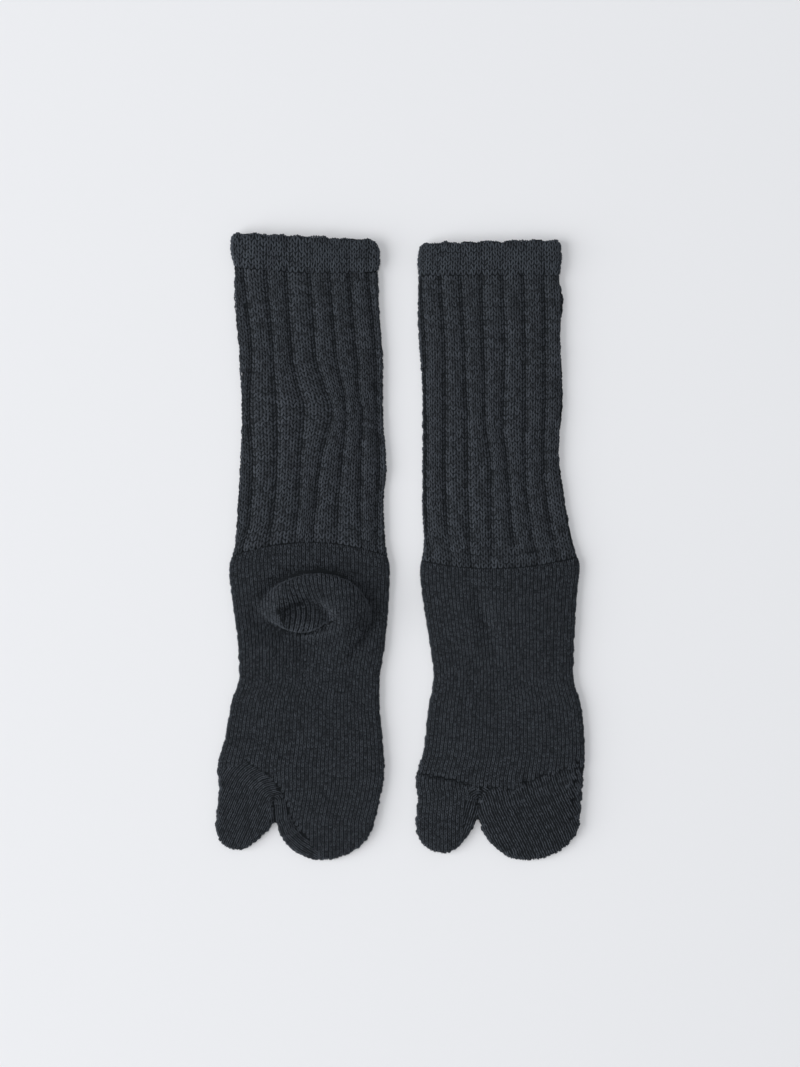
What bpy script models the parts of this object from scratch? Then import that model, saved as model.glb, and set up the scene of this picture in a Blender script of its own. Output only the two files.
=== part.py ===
"""A pair of knitted tabi socks (split-toe crew socks), laid flat side by side.

Each sock is one tube, flattened: a doubled welt round the open mouth, a ribbed leg, and
a foot with a cupped heel and two toe pockets, one for the big toe and one for the other
four. The sock for the right foot lies sole up at -X, so its heel cup stands on the foot;
the sock for the left foot lies instep up at +X, over its own cup.

Lengths are millimetres in the pair's own frame: +X across the pair, +Y towards the
mouths, +Z up from the surface that both socks lie on. The tables give each sock's x from
its own centre line.
"""

import math
from collections import namedtuple

import bmesh
import bpy

MM = 0.001

# Knit and lay
WALL = 2.1              # one layer of the cushioned knit
WELT_WALL = 3.4         # the welt is turned over and doubled
RIB_DEPTH = 1.1         # leg ribs stand this far above the purl grooves between them
WELT_RIB_DEPTH = 0.5
EDGE_RADIUS = 2.8       # roll of the flattened tube along its two sides
WELT_EDGE_RADIUS = 3.9
LIP_RADIUS = 1.5        # roll of the welt's folded rim at the mouth
LIP_TURNS = (0, 30, 60)  # degrees round that roll at which a row of points stands
WELT_TUCK = 0.6         # the welt draws in by this where it meets the leg
SEAM_GAP = 0.3          # clearance between neighbouring solids
LEAST_HOLLOW = 0.6      # space kept between the two inner faces
LEAST_ROLL = 0.5        # smallest roll of the inner skin at the sides
CROWN_POWER = 2.4       # how evenly the top face stands up between its sides
FULL_CROWN_WIDTH = 30.0  # a toe pocket narrower than this stands up less
TIP_ROLL_SHARE = 0.4    # most of a toe pocket's width that one side's roll may take
GROOVE_MARGIN = 1.5     # an outermost groove keeps this far from the side's roll
SHARP_DEGREES = 60      # edges folded more than this are shaded sharp

# Sampling of the outer and the plain inner skins, in steps along each stretch
ARC_STEPS = 4
CUFF_ROWS = 3
LEG_ROW_STEP = 8.7
HEEL_ROW_STEP = 5.0
FOOT_ROW_STEP = 8.5
HEEL_END = -76.0
TOP_STEPS = {"big": 8, "four": 14}
BASE_STEPS = {"big": 3, "four": 5}
INNER_CUFF_ROWS = 2
INNER_LEG_ROWS = 7
INNER_FOOT_ROWS = 14
INNER_ARC_STEPS = 2
INNER_TOP_STEPS = {"big": 3, "four": 6}
INNER_BASE_STEPS = {"big": 2, "four": 3}
RIB_POINTS = (0.0, 0.2, 0.5, 0.8)
TOE_STATIONS = (0.1, 0.27, 0.45, 0.62, 0.77, 0.89, 0.965)
INNER_TOE_STATIONS = (0.2, 0.5, 0.8, 0.96)

YARN_COLOR = (0.022, 0.025, 0.029)
YARN_ROUGHNESS = 0.92

# A cross-section of the flattened tube: where its sides lie and how high it stands
Section = namedtuple("Section", "y left right height")
# A line knitted round the tube: its height at the sides, its slope and its bow
Course = namedtuple("Course", "y tilt bow")
# A purl groove's place at each of the STATIONS down the leg
STATIONS = (175.0, 120.0, 98.0, 84.0, 53.0, 14.0, -3.0)
Groove = namedtuple("Groove", "welt calf bend_top bend_low shin ankle_top ankle")
# A toe pocket's tip, and the power and exponent that round each side of its outline
Toe = namedtuple("Toe", "tip_x tip_y left_power left_exp right_power right_exp")
# A raised (or, below zero, sunk) place: centre, half sizes, turn in degrees and steepness
Lump = namedtuple("Lump", "x y half_x half_y turn rise steep")
Sock = namedtuple("Sock", "centre sections courses grooves crotch toes lumps hollow")

SOLE_UP = Sock(
    centre=-60.0,
    sections=(
        Section(198.8, -46.0, 43.0, 8.6),
        Section(194.0, -48.8, 46.2, 9.2),
        Section(186.0, -48.6, 47.2, 9.4),
        Section(178.0, -46.2, 46.0, 8.0),
        Section(158.0, -46.0, 46.5, 7.4),
        Section(120.0, -43.0, 49.0, 7.2),
        Section(84.0, -41.0, 49.2, 7.6),
        Section(50.0, -42.5, 52.0, 7.4),
        Section(30.0, -44.0, 50.0, 7.0),
        Section(0.0, -46.3, 51.0, 7.0),
        Section(-15.0, -49.5, 53.5, 6.8),
        Section(-30.0, -48.0, 53.0, 6.8),
        Section(-66.0, -43.6, 50.0, 6.6),
        Section(-84.0, -43.0, 47.0, 6.4),
        Section(-99.0, -47.8, 46.8, 6.4),
        Section(-124.0, -52.5, 49.0, 6.6),
        Section(-143.0, -57.0, 50.0, 6.8),
        Section(-154.0, -55.8, 48.6, 6.8),
        Section(-176.4, -58.0, 43.5, 6.6),
    ),
    courses=(
        Course(198.8, -2.2, 0.3),
        Course(177.9, -1.6, -2.6),
        Course(-6.1, 0.0, 9.0),
        Course(-80.0, 0.0, 0.0),
    ),
    grooves=(
        Groove(-40.5, -34.7, -36.0, -36.2, -34.3, -36.0, -40.5),
        Groove(-25.0, -20.6, -19.5, -18.7, -18.3, -20.5, -23.5),
        Groove(-12.0, -8.6, -4.0, -1.0, -3.0, -5.0, -6.5),
        Groove(3.0, 6.8, 13.0, 17.0, 10.5, 6.0, 5.0),
        Groove(15.5, 20.2, 24.0, 26.0, 23.5, 20.5, 20.0),
        Groove(28.0, 32.8, 34.0, 36.5, 35.5, 35.0, 36.0),
        Groove(40.5, 45.2, 45.8, 45.8, 47.6, 46.0, 46.0),
    ),
    crotch=-19.2,
    toes={
        "big": Toe(-42.0, -194.7, 2.6, 0.5, 1.0, 0.7),
        "four": Toe(11.0, -201.0, 1.6, 0.5, 1.6, 0.5),
    },
    lumps=(
        Lump(5.0, -41.5, 36.0, 25.0, -6.0, 7.6, 5.0),      # heel cup
        Lump(14.0, -60.0, 24.0, 15.0, -20.0, 2.6, 2.0),    # cup fading into the sole
        Lump(24.0, -36.0, 15.0, 16.0, 0.0, 1.6, 2.0),      # cup's highest side
        Lump(0.0, -40.5, 15.0, 7.5, -14.0, -5.4, 2.0),     # dimple pushed into the cup
        Lump(1.0, -52.8, 19.0, 3.4, 3.0, -3.4, 2.0),       # crease under the dimple
        Lump(-27.0, -52.0, 15.0, 8.0, -38.0, -2.2, 2.0),   # valley beside the cup
        Lump(-17.0, -166.0, 5.0, 10.0, 0.0, -1.1, 2.0),    # dip above the toe split
    ),
    hollow=Lump(5.0, -41.5, 26.0, 17.0, -6.0, 1.6, 3.0),
)

INSTEP_UP = Sock(
    centre=61.5,
    sections=(
        Section(195.4, -47.0, 39.0, 8.4),
        Section(191.0, -49.6, 42.0, 9.0),
        Section(184.0, -50.4, 42.6, 9.2),
        Section(174.0, -50.0, 41.5, 8.0),
        Section(158.0, -50.5, 43.0, 7.4),
        Section(138.0, -50.0, 41.7, 7.2),
        Section(94.0, -47.5, 42.8, 7.2),
        Section(60.0, -47.5, 40.6, 7.2),
        Section(30.0, -47.7, 44.0, 7.2),
        Section(4.0, -46.6, 49.0, 7.6),
        Section(-15.0, -48.8, 53.2, 7.4),
        Section(-30.0, -47.3, 51.5, 7.2),
        Section(-66.0, -42.0, 49.5, 6.8),
        Section(-82.0, -40.0, 49.0, 6.4),
        Section(-104.0, -43.5, 54.5, 6.4),
        Section(-130.0, -46.5, 56.5, 6.6),
        Section(-152.0, -51.5, 55.0, 6.8),
        Section(-159.0, -50.0, 54.5, 6.8),
        Section(-174.5, -51.3, 53.2, 6.6),
    ),
    courses=(
        Course(195.4, 1.4, 0.3),
        Course(173.8, 0.0, 0.0),
        Course(-7.4, 1.2, -6.4),
        Course(-60.0, 0.0, 0.0),
    ),
    grooves=(
        Groove(-35.5, -32.5, -32.5, -32.5, -32.5, -31.0, -28.0),
        Groove(-22.5, -19.5, -18.8, -18.2, -18.0, -17.0, -16.0),
        Groove(-9.0, -7.5, -7.0, -6.6, -3.0, -3.0, -3.0),
        Groove(4.5, 5.8, 5.0, 4.6, 7.5, 11.0, 12.5),
        Groove(18.0, 19.0, 19.0, 19.0, 19.0, 23.0, 26.5),
        Groove(31.0, 32.0, 32.0, 31.6, 31.0, 35.5, 38.5),
    ),
    crotch=-11.4,
    toes={
        "big": Toe(-33.5, -196.8, 2.6, 0.5, 1.0, 0.5),
        "four": Toe(20.5, -201.0, 1.2, 0.4, 1.9, 0.5),
    },
    lumps=(
        Lump(6.0, -42.0, 36.0, 27.0, 0.0, 3.4, 3.0),       # instep over the hidden cup
        Lump(-5.0, -38.0, 5.0, 24.0, 14.0, -1.3, 2.0),     # soft trough down the instep
        Lump(4.0, 0.0, 34.0, 5.0, 0.0, 1.2, 2.0),          # ribbing bunched at the ankle
        Lump(-10.5, -164.0, 5.0, 10.0, 0.0, -1.1, 2.0),    # dip above the toe split
    ),
    hollow=Lump(6.0, -42.0, 28.0, 19.0, 0.0, 1.8, 3.0),
)

SOCKS = {"sole_up": SOLE_UP, "instep_up": INSTEP_UP}


def curve_value(places, values, place):
    """Value of a smooth curve through the table, without overshoot between its rows."""
    if place <= places[0]:
        return values[0]
    if place >= places[-1]:
        return values[-1]
    slopes = [(values[i + 1] - values[i]) / (places[i + 1] - places[i]) for i in range(len(places) - 1)]
    index = next(i for i in range(len(slopes)) if place <= places[i + 1])

    def tangent(i):
        if i in (0, len(slopes)):
            return slopes[min(i, len(slopes) - 1)]
        before, after = slopes[i - 1], slopes[i]
        return 0.0 if before * after <= 0 else 2.0 * before * after / (before + after)

    step = places[index + 1] - places[index]
    t = (place - places[index]) / step
    return (
        values[index] * (1 + 2 * t) * (1 - t) ** 2
        + values[index + 1] * t * t * (3 - 2 * t)
        + step * t * (1 - t) * (tangent(index) * (1 - t) - tangent(index + 1) * t)
    )


def section_at(sock, y):
    rows = sorted(sock.sections)
    places = [row.y for row in rows]
    return Section(y, *(curve_value(places, [row[k] for row in rows], y) for k in (1, 2, 3)))


def course_y(sock, y, across):
    """Where a course knitted at y lies, at a share -1 to 1 of the way across the tube."""
    rows = sorted(sock.courses)
    places = [row.y for row in rows]
    tilt = curve_value(places, [row.tilt for row in rows], y)
    bow = curve_value(places, [row.bow for row in rows], y)
    return y + tilt * across + bow * (1 - across * across)


def lump_height(lump, x, y):
    turn = math.radians(lump.turn)
    along = (x - lump.x) * math.cos(turn) + (y - lump.y) * math.sin(turn)
    aside = (y - lump.y) * math.cos(turn) - (x - lump.x) * math.sin(turn)
    reach = math.hypot(along / lump.half_x, aside / lump.half_y)
    return lump.rise * math.exp(-(reach**lump.steep))


def crown(section, radius, x):
    """Height of the plain top face: 2 radii at the rolled sides, full height between."""
    middle = 0.5 * (section.left + section.right)
    half = 0.5 * (section.right - section.left) - radius
    across = min(1.0, abs(x - middle) / half)
    return 2 * radius + (section.height - 2 * radius) * (1 - across**CROWN_POWER)


def steps(start, end, count):
    return [start + (end - start) * i / count for i in range(count + 1)]


def arc(side_x, base, top, reach, count, sign):
    """Half round from the base to the top at the tube's left (-1) or right (1) side."""
    middle = 0.5 * (base + top)
    half = 0.5 * (top - base)
    angles = steps(-0.5 * math.pi, 0.5 * math.pi, count)
    return [(side_x + sign * reach * math.cos(a), middle + half * math.sin(a)) for a in angles]


def ring(left, right, base, top_points, arc_steps, base_xs, reach):
    """One closed cross-section, from the left base round over the top, with its keys.

    A key is the number of the stretch (left roll, top, right roll, base) plus the share
    of the way along it, and pairs the points of two rings of unlike counts.
    """
    left_roll = arc(left + reach, base, top_points[0][1], reach, arc_steps, -1)
    right_roll = arc(right - reach, base, top_points[-1][1], reach, arc_steps, 1)[::-1]
    top = top_points[1:-1]
    bottom = [(x, base) for x in base_xs[1:-1]]
    keys = [i / arc_steps for i in range(arc_steps + 1)]
    keys += [1 + (i + 1) / (len(top) + 1) for i in range(len(top))]
    keys += [2 + i / arc_steps for i in range(arc_steps + 1)]
    keys += [3 + (i + 1) / (len(bottom) + 1) for i in range(len(bottom))]
    return left_roll + top + right_roll + bottom, keys


def share_across(section, x):
    """-1 at the tube's left side, 1 at its right side."""
    middle = 0.5 * (section.left + section.right)
    half = 0.5 * (section.right - section.left)
    return max(-1.0, min(1.0, (x - middle) / half))


def placed(sock, section, points):
    """Ring points in the pair's frame, on their bowed course."""
    return [
        (sock.centre + x, course_y(sock, section.y, share_across(section, x)), z)
        for x, z in points
    ]


def rib_top(sock, section, radius, depth):
    """Top face of a ribbed row: each rib's points between its two purl grooves."""
    at = [curve_value(STATIONS[::-1], groove[::-1], section.y) for groove in sock.grooves]
    inner_left = section.left + radius
    inner_right = section.right - radius
    at = [min(max(x, inner_left + GROOVE_MARGIN), inner_right - GROOVE_MARGIN) for x in at]
    edges = [inner_left] + at + [inner_right]
    points = []
    for number, (start, end) in enumerate(zip(edges[:-1], edges[1:])):
        for share in RIB_POINTS:
            x = start + (end - start) * share
            y = course_y(sock, section.y, share_across(section, x))
            raised = crown(section, radius, x)
            raised += sum(lump_height(lump, x, y) for lump in sock.lumps)
            sunk = depth if share == 0.0 and number else 0.0
            points.append((x, raised - sunk))
    points.append((inner_right, crown(section, radius, inner_right)))
    points[0] = (inner_left, crown(section, radius, inner_left))
    return points


def split_xs(sock, section, left, right, counts):
    """Places across a row, parted on the line that runs down to the toe split."""
    root = min(sock.sections)
    share = (sock.crotch - root.left) / (root.right - root.left)
    split = section.left + share * (section.right - section.left)
    return steps(left, split, counts["big"]) + steps(split, right, counts["four"])[1:]


def ribbed_ring(sock, y, radius, depth, shrink=0.0):
    """Outer skin of the welt or the leg at y, drawn in by shrink at a folded rim."""
    section = section_at(sock, y)
    base_xs = split_xs(sock, section, section.left + radius, section.right - radius, BASE_STEPS)
    points, keys = ring(
        section.left + shrink,
        section.right - shrink,
        shrink,
        [(x, z - shrink) for x, z in rib_top(sock, section, radius, depth)],
        ARC_STEPS,
        base_xs[::-1],
        radius - shrink,
    )
    return placed(sock, section, points), keys


def plain_ring(sock, y, radius, wall, depth):
    """Inner skin of the welt or the leg at y: plain, one wall inside the purl grooves."""
    section = section_at(sock, y)
    reach = max(LEAST_ROLL, radius - wall)
    left = section.left + wall + depth
    right = section.right - wall - depth
    outer_xs = [x for x, _ in rib_top(sock, section, radius, depth)]
    narrowing = (right - left - 2 * reach) / (outer_xs[-1] - outer_xs[0])
    top = []
    for outer_x in outer_xs:
        x = left + reach + (outer_x - outer_xs[0]) * narrowing
        height = crown(section, radius, x) - depth - wall
        top.append((x, max(height, wall + LEAST_HOLLOW)))
    base_xs = split_xs(sock, section, left + reach, right - reach, INNER_BASE_STEPS)
    points, keys = ring(left, right, wall, top, INNER_ARC_STEPS, base_xs[::-1], reach)
    return placed(sock, section, points), keys


def add_rings(mesh, rings):
    """Vertices of each ring and the quads between neighbouring rings."""
    made = [[mesh.verts.new(point) for point in points] for points in rings]
    for first, second in zip(made[:-1], made[1:]):
        count = len(first)
        for i in range(count):
            j = (i + 1) % count
            mesh.faces.new((first[i], first[j], second[j], second[i]))
    return made


def join_ends(mesh, outer, outer_keys, inner, inner_keys):
    """Annular end face between an outer and an inner ring of unlike point counts."""
    i = j = 0
    while i < len(outer) or j < len(inner):
        next_outer = outer_keys[i + 1] if i + 1 < len(outer) else 4.0
        next_inner = inner_keys[j + 1] if j + 1 < len(inner) else 4.0
        a, b = outer[i % len(outer)], inner[j % len(inner)]
        if j >= len(inner) or (i < len(outer) and next_outer <= next_inner):
            mesh.faces.new((a, outer[(i + 1) % len(outer)], b))
            i += 1
        else:
            mesh.faces.new((a, inner[(j + 1) % len(inner)], b))
            j += 1


def close_tip(mesh, last_ring, point):
    tip = mesh.verts.new(point)
    for i, vertex in enumerate(last_ring):
        mesh.faces.new((vertex, last_ring[(i + 1) % len(last_ring)], tip))


def finish_object(name, mesh, material, collection):
    """Metres, outward faces, smooth shading and a place in the collection."""
    bmesh.ops.recalc_face_normals(mesh, faces=mesh.faces)
    bmesh.ops.triangulate(mesh, faces=mesh.faces)
    bmesh.ops.scale(mesh, vec=(MM, MM, MM), verts=mesh.verts)
    data = bpy.data.meshes.new(name)
    mesh.to_mesh(data)
    mesh.free()
    data.materials.append(material)
    data.shade_smooth()
    data.set_sharp_from_angle(angle=math.radians(SHARP_DEGREES))
    obj = bpy.data.objects.new(name, data)
    collection.objects.link(obj)
    return obj


def yarn_material(name):
    """Matt charcoal cotton yarn."""
    material = bpy.data.materials.new(name)
    material.use_nodes = True
    shader = material.node_tree.nodes["Principled BSDF"]
    shader.inputs["Base Color"].default_value = (*YARN_COLOR, 1.0)
    shader.inputs["Roughness"].default_value = YARN_ROUGHNESS
    shader.inputs["Metallic"].default_value = 0.0
    return material


def tube_object(name, outer_rows, inner_rows, material, collection):
    """An open tube from its outer and inner rows, listed from its upper end down."""
    mesh = bmesh.new()
    outer = add_rings(mesh, [points for points, _ in outer_rows])
    inner = add_rings(mesh, [points for points, _ in inner_rows])
    for end in (0, -1):
        join_ends(mesh, outer[end], outer_rows[end][1], inner[end], inner_rows[end][1])
    return finish_object(name, mesh, material, collection)


def build_cuff(name, sock, material, collection):
    """Doubled welt: a thick ribbed band with a rolled rim round the open mouth."""
    top = sock.courses[0].y
    base = sock.courses[1].y + 0.5 * SEAM_GAP
    outer = []
    for degrees in LIP_TURNS:
        turn = math.radians(degrees)
        y = top - LIP_RADIUS * (1 - math.cos(turn))
        shrink = LIP_RADIUS * (1 - math.sin(turn))
        outer.append(ribbed_ring(sock, y, WELT_EDGE_RADIUS, WELT_RIB_DEPTH, shrink))
    for y in steps(top - LIP_RADIUS, base + LIP_RADIUS, CUFF_ROWS):
        outer.append(ribbed_ring(sock, y, WELT_EDGE_RADIUS, WELT_RIB_DEPTH))
    outer.append(ribbed_ring(sock, base, WELT_EDGE_RADIUS, WELT_RIB_DEPTH, WELT_TUCK))
    inner_rows = steps(top, base, INNER_CUFF_ROWS)
    inner = [plain_ring(sock, y, WELT_EDGE_RADIUS, WELT_WALL, WELT_RIB_DEPTH) for y in inner_rows]
    return tube_object(f"{name}_cuff", outer, inner, material, collection)


def build_leg(name, sock, material, collection):
    """Ribbed leg: broad knit ribs with a purl groove between each two."""
    top = sock.courses[1].y - 0.5 * SEAM_GAP
    base = sock.courses[2].y + 0.5 * SEAM_GAP
    rows = steps(top, base, round((top - base) / LEG_ROW_STEP))
    outer = [ribbed_ring(sock, y, EDGE_RADIUS, RIB_DEPTH) for y in rows]
    inner_rows = steps(top, base, INNER_LEG_ROWS)
    inner = [plain_ring(sock, y, EDGE_RADIUS, WALL, RIB_DEPTH) for y in inner_rows]
    return tube_object(f"{name}_leg", outer, inner, material, collection)


def foot_ring(sock, section, radius, wall, counts, base_counts, arc_steps, lift):
    """A row of the foot: its top and base are split where the two toe pockets part.

    wall is 0 for the outer skin and the thickness of the knit for the inner one.
    """
    reach = max(LEAST_ROLL, radius - wall)
    left = section.left + wall + reach
    right = section.right - wall - reach
    top = []
    for x in split_xs(sock, section, left, right, counts):
        y = course_y(sock, section.y, share_across(section, x))
        top.append((x, max(crown(section, radius, x) + lift(x, y) - wall, wall + LEAST_HOLLOW)))
    base_xs = split_xs(sock, section, left, right, base_counts)[::-1]
    points, keys = ring(left - reach, right + reach, wall, top, arc_steps, base_xs, reach)
    return placed(sock, section, points), keys


def toe_section(sock, part, share, root, inset):
    """Outline of a toe pocket at a share of the way from its root to its tip."""
    toe = sock.toes[part]
    root_left = root.left if part == "big" else sock.crotch
    root_right = sock.crotch if part == "big" else root.right
    left = toe.tip_x + (root_left - toe.tip_x) * (1 - share**toe.left_power) ** toe.left_exp
    right = toe.tip_x + (root_right - toe.tip_x) * (1 - share**toe.right_power) ** toe.right_exp
    y = root.y + (toe.tip_y - root.y) * share
    return Section(y, left + inset, right - inset, root.height)


def toe_ring(sock, part, share, root, radius, wall, counts, base_counts, arc_steps):
    """A row of one toe pocket, drawn in and rounded as it nears the tip."""
    section = toe_section(sock, part, share, root, wall)
    to_tip = (1 - share) * abs(sock.toes[part].tip_y - root.y)
    inner_radius = max(radius - wall, LEAST_ROLL)
    nearness = min(1.0, to_tip / radius)
    half = inner_radius * math.sqrt(1 - (1 - nearness) ** 2)
    width = section.right - section.left
    reach = min(inner_radius, TIP_ROLL_SHARE * width)
    left, right = section.left + reach, section.right - reach
    rise = (section.height - 2 * radius) * min(1.0, width / FULL_CROWN_WIDTH)
    xs = steps(left, right, counts[part])
    top = []
    for x in xs:
        across = abs(2 * (x - left) / (right - left) - 1)
        top.append((x, radius + half + rise * nearness * (1 - across**CROWN_POWER)))
    base_xs = steps(right, left, base_counts[part])
    points, _ = ring(left - reach, right + reach, radius - half, top, arc_steps, base_xs, reach)
    return [(sock.centre + x, section.y, z) for x, z in points]


def add_toes(mesh, sock, last_ring, root, radius, wall, counts, base_counts, arc_steps, stations):
    """Both toe pockets, grown from the last row of the foot and parted at the crotch."""
    split_top = arc_steps + counts["big"]
    right_roll = arc_steps + counts["big"] + counts["four"]
    split_base = right_roll + arc_steps + base_counts["four"]
    high, low = last_ring[split_top], last_ring[split_base]
    bridge = []
    for i in range(1, arc_steps):
        share = 0.5 - 0.5 * math.cos(math.pi * i / arc_steps)
        bridge.append(mesh.verts.new(high.co.lerp(low.co, share)))
    roots = {
        "big": last_ring[: split_top + 1] + bridge + last_ring[split_base:],
        "four": [low] + bridge[::-1] + last_ring[split_top : split_base],
    }
    for part, ring_verts in roots.items():
        rings = []
        for share in stations:
            points = toe_ring(
                sock, part, share, root, radius, wall, counts, base_counts, arc_steps
            )
            rings.append([mesh.verts.new(point) for point in points])
        chain = [ring_verts] + rings
        for first, second in zip(chain[:-1], chain[1:]):
            for i in range(len(first)):
                j = (i + 1) % len(first)
                mesh.faces.new((first[i], first[j], second[j], second[i]))
        toe = sock.toes[part]
        close_tip(mesh, rings[-1], (sock.centre + toe.tip_x, toe.tip_y + wall, radius))


def build_foot(name, sock, material, collection):
    """Foot: heel cup, sole and instep, and the two toe pockets."""
    mesh = bmesh.new()
    top = sock.courses[2].y - 0.5 * SEAM_GAP
    end = min(row.y for row in sock.sections)
    heel_rows = steps(top, HEEL_END, round((top - HEEL_END) / HEEL_ROW_STEP))
    toe_rows = steps(HEEL_END, end, round((HEEL_END - end) / FOOT_ROW_STEP))[1:]
    skins = {}
    for skin, wall in (("outer", 0.0), ("inner", WALL)):
        if skin == "outer":
            rows = heel_rows + toe_rows
            plan = (TOP_STEPS, BASE_STEPS, ARC_STEPS)
            stations = TOE_STATIONS
        else:
            rows = steps(top, end + WALL, INNER_FOOT_ROWS)
            plan = (INNER_TOP_STEPS, INNER_BASE_STEPS, INNER_ARC_STEPS)
            stations = INNER_TOE_STATIONS

        def lift(x, y, skin=skin):
            if skin == "inner":
                return lump_height(sock.hollow, x, y)
            return sum(lump_height(lump, x, y) for lump in sock.lumps)

        made = [foot_ring(sock, section_at(sock, y), EDGE_RADIUS, wall, *plan, lift) for y in rows]
        rings = add_rings(mesh, [points for points, _ in made])
        root = section_at(sock, end)._replace(y=rows[-1])
        add_toes(mesh, sock, rings[-1], root, EDGE_RADIUS, wall, *plan, stations)
        skins[skin] = (rings[0], made[0][1])
    join_ends(mesh, *skins["outer"], *skins["inner"])
    return finish_object(f"{name}_foot", mesh, material, collection)


def main():
    for obj in list(bpy.data.objects):
        bpy.data.objects.remove(obj, do_unlink=True)
    collection = bpy.data.collections.new("tabi_socks")
    bpy.context.scene.collection.children.link(collection)
    for name, sock in SOCKS.items():
        for zone, build in (("cuff", build_cuff), ("leg", build_leg), ("foot", build_foot)):
            build(name, sock, yarn_material(f"{name}_{zone}_yarn"), collection)


main()
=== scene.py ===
import math
from collections import namedtuple

import bpy
import numpy as np
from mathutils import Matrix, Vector
from mathutils.geometry import delaunay_2d_cdt


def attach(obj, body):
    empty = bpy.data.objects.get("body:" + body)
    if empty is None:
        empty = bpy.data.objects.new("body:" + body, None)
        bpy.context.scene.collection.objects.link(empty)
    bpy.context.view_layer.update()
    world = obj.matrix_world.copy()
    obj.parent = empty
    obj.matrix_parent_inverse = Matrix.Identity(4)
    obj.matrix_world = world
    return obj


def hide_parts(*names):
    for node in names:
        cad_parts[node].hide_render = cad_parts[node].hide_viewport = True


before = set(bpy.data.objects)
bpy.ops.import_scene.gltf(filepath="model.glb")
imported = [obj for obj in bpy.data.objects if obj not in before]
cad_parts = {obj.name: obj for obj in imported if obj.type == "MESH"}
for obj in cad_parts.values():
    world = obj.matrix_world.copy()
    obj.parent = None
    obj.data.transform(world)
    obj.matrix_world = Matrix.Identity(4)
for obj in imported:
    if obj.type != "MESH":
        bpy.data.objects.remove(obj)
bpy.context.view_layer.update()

# ---------------------------------------------------------------------------------------
# Legs. The ribbed part of each sock, knitted in thick charcoal cotton on a circular
# machine: broad ribs of four plain wales with a purl groove between each two. Cuff, leg
# and foot are one knitted tube, and here it lies pressed flat.
# ---------------------------------------------------------------------------------------

# A flattened cross-section of the tube, by its place down the sock. All in millimetres.
Section = namedtuple("Section", "y left right height")
# A line knitted round the tube: how much it slopes and bows as it lies
Course = namedtuple("Course", "y tilt bow")
# Where a purl groove runs at each of the stations down the leg
STATIONS = (175.0, 120.0, 98.0, 84.0, 53.0, 14.0, -3.0)
Groove = namedtuple("Groove", "welt calf bend_top bend_low shin ankle_top ankle")
# A toe pocket's tip, and the powers that round its two sides
Toe = namedtuple("Toe", "tip_x tip_y left_power left_round right_power right_round")
# A raised or sunk place: centre, half sizes, turn in degrees, height and steepness
Lump = namedtuple("Lump", "x y half_x half_y turn rise steep")
# A ridge or a furrow in the cloth, along a line of points. With a pitch it is a row of small
# holes. The cloth beside it hangs over it by so much, on its right where that is negative.
Crease = namedtuple("Crease", "rise left_width right_width pitch line over", defaults=(0.0,))
# Where extra rows were knitted in: the cloth lies fuller towards the rim of this oval, and
# its middle has slid aside by the drift
Pouch = namedtuple("Pouch", "x y half_x half_y turn fullness drift")
# One lying sock, with x measured from its centre, and crotch the foot of its toe split
Sock = namedtuple(
    "Sock", "centre sections courses grooves crotch big four lumps creases pouches"
)

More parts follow.
